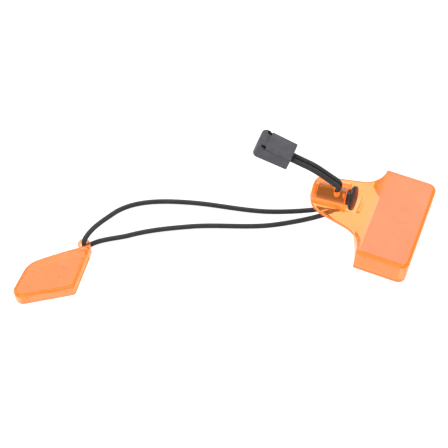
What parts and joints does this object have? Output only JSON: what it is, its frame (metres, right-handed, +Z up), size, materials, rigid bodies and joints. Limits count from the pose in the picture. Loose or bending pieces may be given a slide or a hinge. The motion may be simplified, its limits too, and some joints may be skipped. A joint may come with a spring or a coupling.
{
  "type": "ice axe head guard",
  "caption": "Head guard for an ice axe: a translucent adze cover with a built-in cord lock, joined by an elastic loop to a pick cover, with a clip on the cord's ends.",
  "frame": {"origin": "middle of the adze cover's flat underside", "axes": "+X towards the closed end of the adze pocket, +Y to the left of it, +Z up out of the face that the guard lies on"},
  "size_m": [0.2071, 0.1577, 0.0555],
  "materials": {
    "cover_orange": "satin translucent soft moulding",
    "lock_plastic": "fine satin moulding",
    "end_plastic": "fine spark texture",
    "spring_steel": "drawn wire",
    "cord_sheath": "tight braid",
    "cord_core": "natural rubber"
  },
  "bodies": {
    "adze_cover": {"adze_cover": "cover_orange", "lock_spring": "spring_steel", "lock_strand_a_sheath": "cord_sheath", "lock_strand_a_core": "cord_core", "lock_strand_b_sheath": "cord_sheath", "lock_strand_b_core": "cord_core"},
    "lock_plunger": {"lock_plunger": "lock_plastic"},
    "tail_near": {"tail_near_a_sheath": "cord_sheath", "tail_near_a_core": "cord_core", "tail_near_b_sheath": "cord_sheath", "tail_near_b_core": "cord_core"},
    "cord_end": {"tail_far_a_sheath": "cord_sheath", "tail_far_a_core": "cord_core", "tail_far_b_sheath": "cord_sheath", "tail_far_b_core": "cord_core", "cord_end_base": "end_plastic"},
    "cord_end_lid": {"cord_end_lid": "end_plastic"},
    "loop_near": {"leg_near_a_sheath": "cord_sheath", "leg_near_a_core": "cord_core", "leg_near_b_sheath": "cord_sheath", "leg_near_b_core": "cord_core"},
    "loop_middle": {"leg_middle_a_sheath": "cord_sheath", "leg_middle_a_core": "cord_core", "leg_middle_b_sheath": "cord_sheath", "leg_middle_b_core": "cord_core"},
    "loop_far": {"leg_far_a_sheath": "cord_sheath", "leg_far_a_core": "cord_core", "leg_far_b_sheath": "cord_sheath", "leg_far_b_core": "cord_core"},
    "bight": {"bight_sheath": "cord_sheath", "bight_core": "cord_core"},
    "pick_cover": {"pick_cover": "cover_orange"}
  },
  "joints": [
    {"name": "plunger_press", "type": "slide", "parent": "adze_cover", "child": "lock_plunger", "axis": [0.9903, 0, 0.1392], "range_m": [-0.0018, 0], "stiffness_N_per_m": 120, "springref_m": 0.004, "deforming": ["lock_spring"]},
    {"name": "tail_root_bend", "type": "hinge", "parent": "adze_cover", "child": "tail_near", "pos_m": [-0.03757, 0, 0.0313], "axis": [0, 1, 0], "range_deg": [-12, 60], "stiffness_Nm_per_rad": 0.02},
    {"name": "tail_middle_bend", "type": "hinge", "parent": "tail_near", "child": "cord_end", "pos_m": [-0.05758, 0, 0.04288], "axis": [0, 1, 0], "range_deg": [-50, 45], "stiffness_Nm_per_rad": 0.02},
    {"name": "cord_end_lid_hinge", "type": "hinge", "parent": "cord_end", "child": "cord_end_lid", "pos_m": [-0.08287, 0, 0.05359], "axis": [0, -1, 0], "range_deg": [0, 110]},
    {"name": "loop_root_fold", "type": "hinge", "parent": "adze_cover", "child": "loop_near", "pos_m": [-0.0353, 0, 0.01516], "axis": [0, 1, 0], "range_deg": [-45, 10], "stiffness_Nm_per_rad": 0.004},
    {"name": "loop_middle_fold", "type": "hinge", "parent": "loop_near", "child": "loop_middle", "pos_m": [-0.0764, -0.01975, 0.0026], "axis": [-0.3076, 0.9515, 0], "range_deg": [-50, 50], "stiffness_Nm_per_rad": 0.004},
    {"name": "loop_stretch", "type": "slide", "parent": "loop_middle", "child": "loop_far", "axis": [-0.9252, -0.3795, 0], "range_m": [0, 0.022], "stiffness_N_per_m": 60},
    {"name": "pick_end_fold", "type": "hinge", "parent": "loop_far", "child": "bight", "pos_m": [-0.15495, -0.0557, 0.00193], "axis": [-0.8604, 0.5087, 0.0298], "range_deg": [-55, 55], "stiffness_Nm_per_rad": 0.004},
    {"name": "pick_cover_swing", "type": "hinge", "parent": "bight", "child": "pick_cover", "pos_m": [-0.168, -0.0787, 0.0053], "axis": [0, 0, 1], "range_deg": [-35, 35]}
  ]
}
